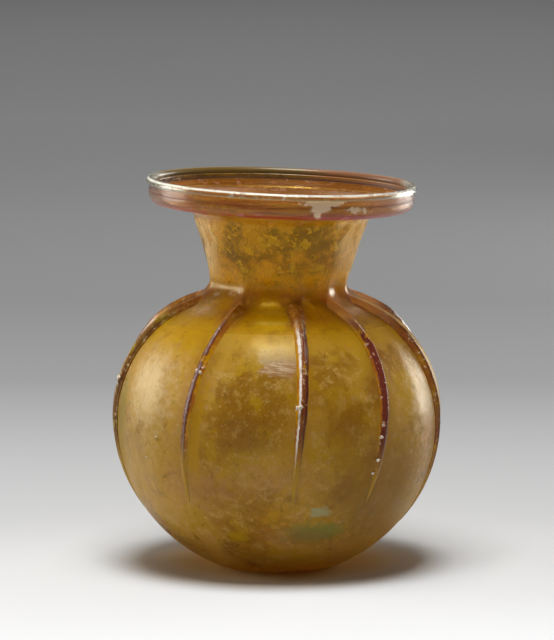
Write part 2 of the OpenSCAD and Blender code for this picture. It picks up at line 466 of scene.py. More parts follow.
@dataclass(frozen=True)
class HandOfMaker:
    """The small unevenness that free blowing and the pincers leave in the form."""

    form: FlaskForm = FlaskForm()
    belly: float = 0.16
    flute: float = 0.09
    groove: float = 0.34
    skirt: float = 0.08
    lobe: float = 0.8
    ripple: float = 0.07
    rim_tilt: float = 0.16
    valley_at: float = 4.2
    valley_w: float = 2.6
    lobe_w: float = 2.4
    skirt_w: float = 1.9

    def near_rib(self, turn: np.ndarray, z: np.ndarray, radius: np.ndarray) -> tuple[np.ndarray, ...]:
        """Find how far points of the ball lie from the nearest rib, and the height of the rib there.

        Args:
            turn: Direction to the right of the front, in radians.
            z: Height.
            radius: Distance from the axis.

        Returns:
            The distance to the side in millimetres, with its sign, the rib's height there, and two smooth
            shares: how much of a valley lies there beside the ribs, and how much of a lobe.
        """
        form = self.form
        levels = np.linspace(form.rib_top_deg, -60, 240)
        heights = np.array([form.on_wall(level)[1] for level in levels])
        up_deg = np.interp(z, heights[::-1], levels[::-1])
        best = np.full(z.shape, np.inf)
        height, valley, lobe = np.zeros((3, *z.shape))
        for line in RIB_LINES:
            share = (form.rib_top_deg - up_deg) / (form.rib_top_deg - form.foot_deg(line.foot_z))
            bend = line.sway * np.sin(np.pi * np.clip(share, 0, 1))
            line_turn = np.radians(line.top_turn + (line.foot_turn - line.top_turn) * share + bend)
            off = (turn - line_turn + np.pi) % (2 * np.pi) - np.pi
            side = off * radius
            nearer = np.abs(side) < np.abs(best)
            best = np.where(nearer, side, best)
            height = np.where(nearer, form.rib_height(share), height)
            beside = np.exp(-((np.abs(side) - self.valley_at) / self.valley_w) ** 2)
            valley += beside * smooth_step(form.rib_height(share), 0.0, 0.9)
            lobe += np.exp(-((side / self.lobe_w) ** 2))
        return best, height, 1 - np.exp(-1.5 * valley), 1.45 * lobe - 0.45

    def press(self, points: np.ndarray, outer: np.ndarray) -> np.ndarray:
        """Work the unevenness into turned points.

        Args:
            points: Points in millimetres, before the neck leans.
            outer: One for points of the outer face, nought for the inner face.

        Returns:
            The moved points, with the neck and mouth leaning.
        """
        form = self.form
        x, y, z = points.T
        radius = np.hypot(x, y)
        turn = np.arctan2(x, -y)
        on_ball = 1 - smooth_step(z, 53.0, 57.0)
        stands = smooth_step(z, 0.4, 12.0)
        push = self.belly * np.sin(2 * turn + 0.8 + z / 40) + 0.6 * self.belly * np.sin(3 * turn - z / 15)
        push = push * stands * smooth_step(radius, 6.0, 13.0)
        side, height, valley, lobes = self.near_rib(turn, z, radius)
        valley = -self.groove * valley * on_ball
        collar = self.skirt * np.exp(-(side / self.skirt_w) ** 2) * smooth_step(height, 0.0, 0.9) * on_ball
        push = push + np.where(outer > 0.5, valley + collar, 0.5 * valley)
        at_waist = np.exp(-(((z - 58.0) / 2.7) ** 2)) * smooth_step(z, 53.0, 56.0)
        push = push + self.lobe * at_waist * lobes * np.where(outer > 0.5, 1.0, 0.25)
        rings = np.sin((z - 50.0) * 2.5) * smooth_step(z, 49.5, 51.5) * (1 - smooth_step(z, 55.0, 56.5))
        push = push + self.ripple * rings * (0.6 + 0.4 * np.cos(turn - 0.3))
        on_neck = smooth_step(z, 57.0, 62.0) * (1 - smooth_step(z, 69.0, 72.5))
        push = push + on_neck * self.flute * (np.sin(7 * turn + z / 6) + 0.7 * np.sin(11 * turn - z / 9))
        grow = 1 + push / np.maximum(radius, 1.0)
        x, y = x * grow, y * grow
        lean = math.radians(form.lean_deg)
        weight = smooth_step(z, 54.8, 58.0)
        high = z - form.waist_z
        lean_x = x * math.cos(lean) + high * math.sin(lean) + form.neck_shift
        lean_z = -x * math.sin(lean) + high * math.cos(lean) + form.waist_z
        lean_z = lean_z + self.rim_tilt * smooth_step(z, 66.0, 78.0) * np.sin(turn + 2.4 + 0.4 * np.sin(2 * turn))
        return np.stack([x + (lean_x - x) * weight, y, z + (lean_z - z) * weight], axis=1)


@dataclass(frozen=True)
class TurnedWall:
    """Turns sections round the axis into closed meshes and marks their faces."""

    hand: HandOfMaker = HandOfMaker()
    steps: int = 252

    def build(self, name: str, outer: Sequence[Pair], inner: Sequence[Pair]) -> bpy.types.Object:
        """Make one piece between an outer and an inner line.

        Args:
            name: The piece's name.
            outer: Radius and height along the outer face, from one seam to the other.
            inner: The same along the inner face, back again.

        Returns:
            The object, with its normals outward and its attributes set.
        """
        section = np.array(list(outer) + list(inner), dtype=float)
        marks = np.array([1.0] * len(outer) + [0.0] * len(inner))
        turns = np.arange(self.steps) * 2 * math.pi / self.steps
        count = len(section)
        radius, high = np.tile(section.T, self.steps)
        turn = np.repeat(turns, count)
        outside = np.tile(marks, self.steps)
        run = np.tile(np.concatenate([np.linspace(0, 1, len(line)) for line in (outer, inner)]), self.steps)
        points = np.stack([radius * np.sin(turn), -radius * np.cos(turn), high], axis=1)
        side, height = self.hand.near_rib(turn, high, radius)[:2]
        moved = self.hand.press(points, outside) * MM
        ring = np.arange(count)
        follow = (ring + 1) % count
        faces = []
        for step in range(self.steps):
            here, there = step * count, ((step + 1) % self.steps) * count
            faces.append(np.stack([here + ring, there + ring, there + follow, here + follow], axis=1))
        mesh = bpy.data.meshes.new(name)
        mesh.from_pydata(moved.tolist(), [], np.concatenate(faces).tolist())
        add_marks(mesh, {"outside": outside, "run": run, "rib_side": side, "rib_height": height})
        return finish_mesh(name, mesh)


def add_marks(mesh: bpy.types.Mesh, marks: dict[str, Sequence[float]]) -> None:
    """Give a mesh's points their attributes."""
    for label, values in marks.items():
        layer = mesh.attributes.new(label, "FLOAT", "POINT")
        layer.data.foreach_set("value", np.asarray(values, dtype=np.float32))


def finish_mesh(name: str, mesh: bpy.types.Mesh) -> bpy.types.Object:
    """Close a mesh's poles, turn its faces outward and put it in the scene.

    Args:
        name: The object's name.
        mesh: The mesh.

    Returns:
        The object, at the origin.
    """
    work = bmesh.new()
    work.from_mesh(mesh)
    bmesh.ops.remove_doubles(work, verts=work.verts, dist=2e-7)
    bmesh.ops.dissolve_degenerate(work, edges=work.edges, dist=1e-8)
    bmesh.ops.recalc_face_normals(work, faces=work.faces)
    work.to_mesh(mesh)
    work.free()
    mesh.shade_smooth()
    piece = bpy.data.objects.new(name, mesh)
    bpy.context.scene.collection.objects.link(piece)
    return piece


# Finishes


def new_material(name: str, kind: type[Graph] = Graph) -> tuple[bpy.types.Material, Any]:
    """Start a material with an empty tree.

    Args:
        name: The material's name.
        kind: The class that wraps its tree.

    Returns:
        The material and its graph.
    """
    made = bpy.data.materials.new(name)
    made.use_nodes = True
    return made, kind(made.node_tree)


class GlassGraph(Graph):
    """A glass's graph, with the places in millimetres and the noises that the finishes share."""

    def __init__(self, tree: bpy.types.NodeTree) -> None:
        """Read the places and lay out the noises."""
        super().__init__(tree)
        self.place = self.place_mm()
        self.across, self.depth, self.high = self.parts(self.place)
        self.outside, self.run = self.mark("outside"), self.mark("run")
        self.cloud = self.noise(self.place, 16, 4, 0.55, 0.4)
        self.grain = self.noise(self.place, 2.2, 6, 0.7)
        self.dust = self.noise(self.place, 0.55, 3, 0.6)
        self.rag = self.noise(self.place, 1.6, 5, 0.65)

    def drawn(self, size: Point, turn: Point = (0.0, 0.0, 0.0), detail: float = 4.0, rough: float = 0.6,
              distortion: float = 0.0) -> Socket:
        """Give a noise that is drawn out.

        Args:
            size: The size of its forms along each axis, in millimetres.
            turn: How the axes are turned, in radians.
            detail: The noise's detail.
            rough: The noise's roughness.
            distortion: The noise's distortion.

        Returns:
            The noise.
        """
        inputs = {"Vector": self.place, "Rotation": turn, "Scale": size}
        return self.noise(self.out("ShaderNodeMapping", {"vector_type": "TEXTURE"}, inputs), 1, detail, rough,
                          distortion)


@dataclass(frozen=True)
class Spot:
    """A soft round or oval place on the glass, in millimetres."""

    middle: Point
    size: Point
    edge: float
    ragged: float

    def mask(self, graph: GlassGraph) -> Socket:
        """Give the spot's mask.

        Args:
            graph: The material's graph.

        Returns:
            One inside the spot and nought outside it, with an edge torn by a noise.
        """
        off = graph.vector("SUBTRACT", graph.place, self.middle)
        share = graph.vector("LENGTH", graph.vector("DIVIDE", off, self.size), output=1)
        return (share + (graph.rag - 0.5) * self.ragged).fade(1, 1 - self.edge)


@dataclass
class Skin:
    """What the weathered skin shows at each place of the glass."""

    tone: Socket
    cover: Socket
    rough: Socket
    relief: Socket


@dataclass(frozen=True)
class GlassFinish:
    """Old glass under a weathered skin: the clear glass shows where the skin is thin."""

    name: str
    roughness: float = 0.08
    gloss: float = 0.45
    gleam: Colour = (1.0, 0.8, 0.28, 1.0)
    glow: Colour = (0.6, 0.35, 0.015, 1.0)
    glow_share: float = 0.35

    def material(self) -> bpy.types.Material:
        """Build the material.

        Returns:
            The material, with the skin over the clear glass.
        """
        made, graph = new_material(self.name, GlassGraph)
        skin = self.skin(graph)
        bump = graph.out("ShaderNodeBump", None, {"Strength": 0.35, "Distance": 0.00025, "Height": skin.relief})
        glass = graph.out("ShaderNodeBsdfPrincipled", None, {
            "Base Color": self.tint(graph), "Roughness": self.dullness(graph), "IOR": 1.5,
            "Transmission Weight": 1, "Specular Tint": self.gleam, "Normal": bump})
        film = graph.out("ShaderNodeBsdfPrincipled", None, {
            "Base Color": skin.tone, "Roughness": skin.rough, "IOR": 1.5, "Specular IOR Level": self.gloss,
            "Specular Tint": self.gleam, "Normal": bump})
        light = graph.out("ShaderNodeBsdfTranslucent", None, {"Color": graph.mix(0.5, skin.tone, self.glow)})
        lit = graph.out("ShaderNodeMixShader", None, {0: self.glow_share, 1: film, 2: light})
        whole = graph.out("ShaderNodeMixShader", None, {0: graph.limit(skin.cover), 1: glass, 2: lit})
        graph.node("ShaderNodeOutputMaterial", None, {"Surface": whole})
        return made

    def dullness(self, graph: GlassGraph) -> Value:
        """Give the roughness of the clear glass."""
        return self.roughness

    def tint(self, graph: GlassGraph) -> Socket:
        """Give the colour of the clear glass."""
        raise NotImplementedError

    def skin(self, graph: GlassGraph) -> Skin:
        """Lay out the weathered skin."""
        raise NotImplementedError


@dataclass(frozen=True)
class WallGlass(GlassFinish):
    """The blown wall: a milky olive ball, a clear gold shoulder, a mottled neck and a rose-brown dish."""

    ball_clear: Screen = (240, 190, 50)
    neck_clear: Screen = (252, 212, 74)
    ball_deep: Screen = (168, 124, 30)
    ball_mid: Screen = (212, 169, 60)
    gold: Screen = (240, 192, 12)
    neck_mid: Screen = (192, 148, 0)
    # painted light: the pale of the lobe at the right of the waist
    lobe_pale: Screen = (250, 200, 140)
    crackle_white: Screen = (236, 214, 180)
    dish_mid: Screen = (178, 112, 54)
    # Heights between which each skin gives way to the one above
    shoulder_z: Pair = (44.5, 52.0)
    neck_z: Pair = (56.0, 61.0)
    dish_z: Pair = (71.6, 73.6)
    # Each place on the ball, its share and its colour: stains, iridescent patches and painted highlights on the side
    # panels
    places: tuple[tuple[Spot, float, Screen], ...] = (
        (Spot((18, -21, 19), (22, 20, 17), 0.8, 0.8), 0.65, (112, 82, 44)),
        (Spot((7, -25, 10.6), (9, 6, 3.2), 0.6, 1.2), 0.9, (124, 146, 68)),
        (Spot((8.5, -28.5, 15.3), (3.4, 3, 1.5), 0.6, 2.4), 0.8, (176, 192, 146)),
        (Spot((-8, -24.5, 9.4), (3.6, 3, 2), 0.7, 0.8), 0.9, (196, 164, 10)),
        (Spot((-14, -26, 20), (10, 8, 7), 0.8, 1.4), 0.5, (184, 128, 96)),
        (Spot((-4, -30, 22), (14, 8, 5), 0.8, 2), 0.3, (196, 150, 116)),
        (Spot((-6, -30, 31), (9, 8, 7), 0.8, 0.9), 0.35, (120, 92, 60)),
        (Spot((3, -27, 9), (12, 8, 4), 0.8, 1.2), 0.4, (168, 112, 84)),
        # painted highlights: cream patches on the left panel, where the left lamp's sheen falls
        (Spot((-25, -18, 39), (8, 12, 14), 0.8, 1.8), 0.75, (238, 210, 150)),
        (Spot((-28, -18, 26), (8, 12, 12), 0.9, 1.4), 0.45, (228, 194, 124)),
        # painted highlight: a cream column on the right panel, where the right lamp's sheen falls
        (Spot((31, -14, 37), (7, 10, 18), 0.95, 3.4), 0.75, (246, 216, 160)),
        (Spot((31, -13, 29), (4, 6, 5), 0.9, 3), 0.25, (232, 160, 130)),
        (Spot((-32, -9.5, 35), (3, 5, 10), 0.6, 0.8), 0.6, (156, 150, 48)),
        (Spot((33, -6.6, 36), (3, 5, 14), 0.9, 3), 0.3, (206, 128, 28)),
        (Spot((12.5, -31, 35), (7, 8, 12), 0.8, 0.8), 0.5, (140, 98, 18)),
    )
    crackled: tuple[tuple[Point, Point], ...] = (
        ((-8.4, -11.2, 58), (2.6, 3, 1.6)), ((-13.2, -8.6, 56.2), (3, 3.4, 1.5)),
        ((10.6, -9.6, 56.6), (2.2, 3, 1.6)), ((5.4, -12.6, 56.4), (1.6, 2.4, 1.2)))

    def dullness(self, graph: GlassGraph) -> Value:
        """Give the clear glass's roughness: etched on the ball, smooth on the neck."""
        return graph.high.fade(47, 60, 0.32, self.roughness)

    def tint(self, graph: GlassGraph) -> Socket:
        """Give the clear glass's colour: amber in the ball, gold in the neck."""
        return graph.layers(self.ball_clear, (graph.cloud.fade(0.35, 0.65), (214, 160, 30)),
                            (graph.high.fade(48, 57), self.neck_clear))

    def skin(self, graph: GlassGraph) -> Skin:
        """Lay out the skin from the ball up to the dish.

        Args:
            graph: The material's graph.

        Returns:
            The skin of the whole wall.
        """
        whole = self.ball(graph)
        level = graph.high + (graph.cloud - 0.5) * 6 + (graph.grain - 0.5) * 7
        for part, ends in ((self.shoulder, self.shoulder_z), (self.neck, self.neck_z), (self.dish, self.dish_z)):
            upper, share = part(graph), level.fade(*ends)
            whole = Skin(graph.mix(share, whole.tone, upper.tone), graph.blend(share, whole.cover, upper.cover),
                         graph.blend(share, whole.rough, upper.rough), whole.relief)
        return whole

    def ball(self, graph: GlassGraph) -> Skin:
        """Lay out the ball: olive and gold clouds, hair lines, specks and iridescent places, with painted highlights on
        the side panels and at the front, painted shade beside the ribs and a painted glow beside one rib.

        Args:
            graph: The material's graph.

        Returns:
            The ball's skin.
        """
        patch = graph.noise(graph.place, 7, 5, 0.6, 0.2)
        # a rough patch at the top front, painted whitish as the top lamp's highlight; under it a brownish-pink hatched
        # patch whose pale threads are partly painted highlight
        frost_and_glare = Spot((0.3, -28, 46.6), (5.2, 5, 3.6), 0.35, 0.9).mask(graph)
        hatch = Spot((0.4, -29.5, 44.3), (5.2, 5, 1.7), 0.5, 2.2).mask(graph)
        thread = graph.drawn((5, 5, 0.4), (0, 0.12, 0), 2, 0.55)
        lines = self.strokes(graph, 0.6) + self.strokes(graph, -0.5)
        lines = lines * (0.15 + 0.85 * graph.cloud.fade(0.42, 0.58))
        side = graph.mark("rib_side")
        # painted shade: darker brown close beside each rib, in the crease where the wall dips
        beside = side.fade_abs(4.6, 1) * graph.mark("rib_height").fade(0.1, 0.8)
        # painted glow: a bright yellow band to the right of one rib, standing in for light coming through the rib
        lit = side.fade(0.6, 1.4) * side.fade(4, 2.8)
        lit = lit * Spot((-15, -29, 31), (7, 7, 13), 0.5, 2.2).mask(graph)
        tone = graph.layers(
            self.ball_deep,
            (graph.cloud.fade(0.38, 0.6), self.ball_mid),
            (patch.fade(0.5, 0.6) * 0.7, (204, 164, 18)),
            (patch.fade(0.46, 0.34) * 0.5, (128, 92, 48)),
            ((graph.cloud + (graph.grain - 0.5) * 0.6).fade(0.54, 0.62) * 0.3, (196, 134, 92)),
            (graph.grain.fade(0.5, 0.64) * 0.5, (228, 196, 108)),
            (graph.dust.fade(0.6, 0.7) * 0.4, (238, 206, 146)),
            *((spot.mask(graph) * share, colour) for spot, share, colour in self.places),
            (frost_and_glare * 0.75, (196, 172, 142)),
            (hatch * 0.7, graph.layers((176, 136, 100), (thread.fade(0.42, 0.58), (236, 208, 176)))),
            (lines * 0.24, (232, 200, 122)),
            (self.strokes(graph, 1.3) * 0.25, (96, 66, 14)),
            (graph.grain.fade(0.42, 0.34) * 0.4, (92, 62, 8)),
            (lit * 0.7, (222, 172, 14)),
            (beside * 0.35, (150, 92, 26)))
        cover = (0.76 + (graph.cloud - 0.5) * 0.35 + lines * 0.2 + frost_and_glare * 0.2) * (0.3 + 0.7 * graph.outside)
        rough = 0.4 - frost_and_glare * 0.12 + hatch * 0.3 + (graph.grain - 0.5) * 0.5 + (patch - 0.5) * 0.8
        relief = graph.cloud * 1.6 + graph.rag * 0.5 + graph.grain * 0.3 + graph.dust * 0.12 + lines * 0.12
        return Skin(tone, cover, rough, relief)

    @staticmethod
    def strokes(graph: GlassGraph, slant: float) -> Socket:
        """Give fine short strokes, as of a worn and scratched skin, at a slant in radians."""
        return graph.drawn((4.2, 2.4, 0.22), (0, slant, 0.15), 3).fade(0.58, 0.74)

    def shoulder(self, graph: GlassGraph) -> Skin:
        """Lay out the clear gold ring under the neck, dark amber where the neck is drawn in, with a painted glow of
        light at its front crossed by two painted reflection rings.

        Args:
            graph: The material's graph.

        Returns:
            The shoulder's skin.
        """
        lobe = graph.mark("rib_side").fade_abs(3.6, 1.4) * graph.high.fade(50, 54.5)
        # painted light: a bright gold glow at the front of the shoulder where light comes through, crossed by two
        # bright rings that are painted reflections
        painted_window_glow = Spot((-1, -19.5, 53), (5.2, 6, 4.4), 0.6, 0.8).mask(graph)
        level = graph.high + (graph.cloud - 0.5) * 1.2
        tone = graph.layers(
            self.gold,
            (graph.grain.fade(0.5, 0.62) * 0.7, (186, 132, 6)),
            (graph.high.fade(54.6, 57) * 0.7, (140, 86, 6)),
            (lobe * 0.8 * graph.outside, (190, 122, 70)),
            (self.pale_lobe(graph), self.lobe_pale),
            (painted_window_glow * 0.7, (255, 214, 14)),
            *(((level - ring).fade_abs(0.42, 0.05) * painted_window_glow * share, (255, 220, 96))
              for ring, share in ((54.5, 0.55), (52.7, 0.85))),
            (self.crackle(graph) * 0.7, self.crackle_white))
        cover = (0.6 + (graph.grain - 0.5) * 0.4 + painted_window_glow * 0.3) * (0.35 + 0.65 * graph.outside)
        return Skin(tone, cover, 0.28 + graph.grain * 0.24, graph.cloud)

    def neck(self, graph: GlassGraph) -> Skin:
        """Lay out the neck: gold, with dark crust flecks inside, pale ones outside and painted highlight streaks along
        its sides.

        Args:
            graph: The material's graph.

        Returns:
            The neck's skin.
        """
        herd = graph.noise(graph.place, 9, 2, 0.5).fade(0.42, 0.58)
        isles = (graph.noise(graph.place, 3, 7, 0.75, 0.9) + (herd - 0.5) * 0.12).fade(0.5, 0.53)
        bits = graph.grain.fade(0.55, 0.59)
        # painted highlight: pale streaks along the neck's sides, where reflections of its inner faces show
        painted_side_sheen = graph.drawn((3.4, 3.4, 12), distortion=0.3).fade(0.4, 0.52) * graph.across.fade_abs(10.5, 14)
        foot = graph.high.fade(65, 59.5) * graph.grain.fade(0.6, 0.46)
        tone = graph.layers(
            self.neck_mid,
            (isles, (98, 72, 0)),
            (bits * 0.8, (224, 184, 40)),
            (painted_side_sheen * 0.95, (240, 208, 144)),
            (foot * 0.85, (252, 192, 0)),
            (self.pale_lobe(graph), self.lobe_pale),
            (self.crackle(graph) * 0.7, self.crackle_white))
        cover = 0.22 + isles * 0.3 + bits * 0.2 + painted_side_sheen * 0.4 + foot * 0.25
        return Skin(tone, cover, 0.22 + graph.grain * 0.2, graph.cloud)

    @staticmethod
    def pale_lobe(graph: GlassGraph) -> Socket:
        """Give the lobe at the right of the waist, painted pale as light to lift the shade under the collar."""
        return Spot((11, -9.6, 56), (2.8, 3.4, 2.6), 0.5, 0.8).mask(graph) * graph.outside * 0.85

    def crackle(self, graph: GlassGraph) -> Socket:
        """Give the whitish crackle on the lobes where the ribs run into the neck."""
        spots = [Spot(middle, size, 0.6, 0.9).mask(graph) for middle, size in self.crackled]
        return sum(spots) * graph.grain.fade(0.5, 0.56)

    def dish(self, graph: GlassGraph) -> Skin:
        """Lay out the dish: rose-brown, paler in patches.

        Args:
            graph: The material's graph.

        Returns:
            The dish's skin.
        """
        tone = graph.layers(self.dish_mid, (graph.cloud.fade(0.45, 0.6), (140, 84, 30)),
                            (graph.grain.fade(0.52, 0.64) * 0.6, (214, 160, 128)))
        return Skin(tone, 0.42 + (graph.cloud - 0.5) * 0.4, 0.16 + graph.grain * 0.2, graph.cloud)


@dataclass(frozen=True)
class CollarGlass(GlassFinish):
    """The collar: amber in front, clear at its ends, olive with crust inside its back, rose along its lower edge."""

    roughness: float = 0.15
    gleam: Colour = (1.0, 0.94, 0.82, 1.0)
    glow: Colour = (0.6, 0.3, 0.1, 1.0)
    glow_share: float = 0.25
    # The ragged patches on the right of the collar and the clump at its left
    whites: tuple[Spot, ...] = (
        Spot((9.4, -25.9, 77.5), (5.4, 4, 1), 0.3, 1.5), Spot((8.6, -26.1, 76.4), (2.6, 4, 1.3), 0.4, 1.5),
        Spot((8, -26.3, 75.2), (1, 4, 1.2), 0.5, 1.2), Spot((15.8, -22.4, 75.7), (3.4, 4, 0.8), 0.5, 4.4),
        Spot((-21.5, 14.5, 77.6), (2.4, 4, 1), 0.4, 1.8))

    def tint(self, graph: GlassGraph) -> Socket:
        """Give the clear glass's colour: amber, paler at the ends."""
        return graph.layers((250, 196, 112), (graph.across.fade_abs(15, 25), (240, 218, 200)))

    def skin(self, graph: GlassGraph) -> Skin:
        """Lay out the collar's skin.

        Args:
            graph: The material's graph; run goes from the lower edge up on the outer face.

        Returns:
            The skin.
        """
        inside = 1 - graph.outside
        ends = graph.across.fade_abs(14, 25)
        back = graph.depth.fade(-6, 3)
        right = graph.across.fade(2, 12)
        bands = graph.drawn((11, 11, 0.7), distortion=0.2)
        rose = graph.run.fade(0.42, 0.18) * graph.outside
        pinks = graph.layers(
            (180, 70, 42), ((graph.across + (graph.rag - 0.5) * 30).fade(2, 16), (186, 104, 116)),
            (graph.grain.fade(0.56, 0.62), (214, 130, 160)))
        gilt = graph.rag.fade(0.47, 0.55) * graph.across.fade(-3, -9) * (1 - ends) * graph.outside
        seam = (graph.run + (graph.rag - 0.5) * 0.12 - 0.7).fade_abs(0.05, 0.02) * graph.outside
        fold = (graph.run + (graph.cloud - 0.5) * 0.05 - 0.24).fade_abs(0.07, 0.03) * inside
        crust = graph.layers((118, 90, 18), (graph.rag.fade(0.5, 0.56), (70, 50, 8)), (right, (150, 98, 54)))
        clear = graph.layers((132, 106, 98), (bands.fade(0.46, 0.54), (206, 176, 160)))
        white = self.whites[0].mask(graph)
        for other in self.whites[1:]:
            white = graph.math("MAXIMUM", white, other.mask(graph))
        tone = graph.layers(
            (204, 138, 60),
            (graph.cloud.fade(0.4, 0.6), (166, 108, 42)),
            (bands.fade(0.51, 0.55) * 0.9, (196, 150, 30)),
            (bands.fade(0.47, 0.43) * 0.85, (134, 56, 36)),
            (ends, clear),
            (rose, pinks),
            (gilt * 0.7, (160, 122, 26)),
            (seam * 0.8, (120, 50, 24)),
            (back * inside, crust),
            (white, (240, 220, 186)),
            (fold * back, (70, 52, 74)))
        cover = 0.42 - 0.2 * ends + (bands - 0.5) * 0.6 + rose * 0.35 + seam * 0.4 + back * inside * 0.4
        return Skin(tone, graph.math("MAXIMUM", cover, white * 0.88), 0.26 + graph.grain * 0.2 + white * 0.3,
                    graph.cloud * 0.5 + graph.grain * 0.3 + white * 0.2)


@dataclass(frozen=True)
class LipGlass(GlassFinish):
    """The lip: clear glass with a white line along its crest, partly worn glass and partly a painted highlight,
    strongest at the front.
    """

    roughness: float = 0.14
    gleam: Colour = (1.0, 0.96, 0.88, 1.0)
    glow: Colour = (0.7, 0.6, 0.4, 1.0)
    glow_share: float = 0.2

    def tint(self, graph: GlassGraph) -> Socket:
        """Give the clear glass's colour: amber in front, paler at the ends."""
        return graph.layers((240, 196, 130), (graph.across.fade_abs(12, 25), (240, 240, 224)))

    def skin(self, graph: GlassGraph) -> Skin:
        """Lay out the lip's skin.

        Args:
            graph: The material's graph; run goes round the lip's section from the outside to the inside.

        Returns:
            The skin.
        """
        wander = graph.run + (graph.cloud - 0.5) * 0.16 + (graph.rag - 0.5) * 0.05
        line = (wander - 0.33).fade_abs(0.12, 0.05)
        edge = (wander - 0.55).fade_abs(0.05, 0.02)
        breaks = 0.5 + 0.5 * graph.grain.fade(0.34, 0.5)
        # painted highlight: the white crest line is laid on far more strongly at the front, where the top lamp's
        # reflection falls
        front = graph.depth.fade(6, -10) * graph.across.fade(24, 17, 0.35, 1)
        back = graph.depth.fade(2, 12)
        crust = graph.layers((104, 80, 22), (graph.across.fade(2, 12), (134, 88, 56)))
        tone = graph.layers((232, 232, 216), (edge, (96, 66, 40)), (back * (1 - line * 0.5), crust))
        cover = line * (0.1 + 0.75 * front) * breaks + edge * 0.6 + graph.rag.fade(0.56, 0.62) * 0.3
        return Skin(tone, graph.math("MAXIMUM", cover, back * 0.85), 0.25 + graph.grain * 0.2,
                    graph.cloud * 0.5 + graph.grain * 0.4)


@dataclass(frozen=True)
class RibGlass:
    """Pinched ribs: thicker glass with a plum band, a pale line that is partly a painted highlight, tops painted paler
    on the right as light, and an amber flank.
    """

    name: str = "rib_glass_finish"
    gleam: Colour = (1.0, 0.86, 0.6, 1.0)
    gloss: float = 0.2

    def material(self) -> bpy.types.Material:
        """Build the material.

        Returns:
            The material, which reads the place along and across each rib.
        """
        made, graph = new_material(self.name)
        place = graph.place_mm()
        along, plum, pale = graph.mark("along"), graph.mark("plum"), graph.mark("pale")
        grain = graph.noise(place, 1.2, 4, 0.6)
        patches = graph.noise(place, 4.5, 3, 0.6)
        shaky = graph.mark("across") + (grain - 0.5) * 0.45
        fading = along.fade(0.98, 0.72)
        off = shaky - graph.mark("plum_at")
        band = off.fade_abs(0.95, 0.65) * patches.fade(0.3, 0.42)
        core = (off - 0.25).fade_abs(0.22, 0.1)
        # a pale line along each rib, partly weathering and partly a painted highlight on the crest
        line = (graph.math("ABSOLUTE", shaky - graph.mark("pale_at")) + along * 0.12).fade(0.32, 0.14) * pale
        pale_line_and_sheen = line * patches.fade(0.3, 0.5) * fading * along.fade(0.12, 0.24)
        green = graph.layers((120, 112, 24), (grain.fade(0.4, 0.6), (176, 172, 84)))
        # brown-pink tops, painted paler toward the right of the flask as light lifting the shade under the collar
        tops = graph.layers((166, 106, 38), (grain.fade(0.45, 0.6), (198, 138, 60)),
                            (graph.parts(place)[0].fade(4, 10), (244, 178, 122)))
        tone = graph.layers(
            (206, 146, 14),
            (patches.fade(0.4, 0.6), (176, 104, 30)),
            (graph.mark("green"), green),
            (band * plum * fading, (104, 44, 32)),
            (core * plum * fading * 0.8, (54, 22, 26)),
            (pale_line_and_sheen, (234, 226, 216)),
            (along.fade(0.24, 0.08) * 0.85, tops),
            (grain.fade(0.6, 0.66) * 0.5, (222, 190, 150)),
            (along.fade(0.7, 0.94), (176, 134, 38)))
        bump = graph.out("ShaderNodeBump", None, {"Strength": 0.5, "Distance": 0.0002, "Height": grain})
        same = {"Base Color": tone, "IOR": 1.5, "Specular IOR Level": self.gloss, "Specular Tint": self.gleam,
                "Normal": bump}
        glass = graph.out("ShaderNodeBsdfPrincipled", None, {**same, "Roughness": 0.14, "Transmission Weight": 1})
        rough = 0.16 + (grain - 0.5) * 0.3 + along.fade(0.55, 0.9) * 0.35
        skin = graph.out("ShaderNodeBsdfPrincipled", None, {**same, "Roughness": rough})
        cover = 0.76 + line * 0.2 + band * 0.18 - (1 - fading) * 0.1
        whole = graph.out("ShaderNodeMixShader", None, {0: cover, 1: glass, 2: skin})
        graph.node("ShaderNodeOutputMaterial", None, {"Surface": whole})
        return made


@dataclass(frozen=True)
class Crust:
    """Dull whitish crust that sits on the glass in flakes."""

    name: str = "crust_finish"
    pale: Screen = (216, 204, 182)
    dull: Screen = (150, 120, 84)

    def material(self) -> bpy.types.Material:
        """Build the material.

        Returns:
            The material.
        """
        made, graph = new_material(self.name)
        grain = graph.noise(graph.place_mm(), 0.5, 4, 0.65)
        tone = graph.layers(self.dull, (grain.fade(0.35, 0.6), self.pale))
        bump = graph.out("ShaderNodeBump", None, {"Strength": 0.6, "Distance": 0.0001, "Height": grain})
        skin = graph.out("ShaderNodeBsdfPrincipled", None, {
            "Base Color": tone, "Roughness": 0.7 + (grain - 0.5) * 0.3, "Normal": bump})
        graph.node("ShaderNodeOutputMaterial", None, {"Surface": skin})
        return made


# Sub-assemblies


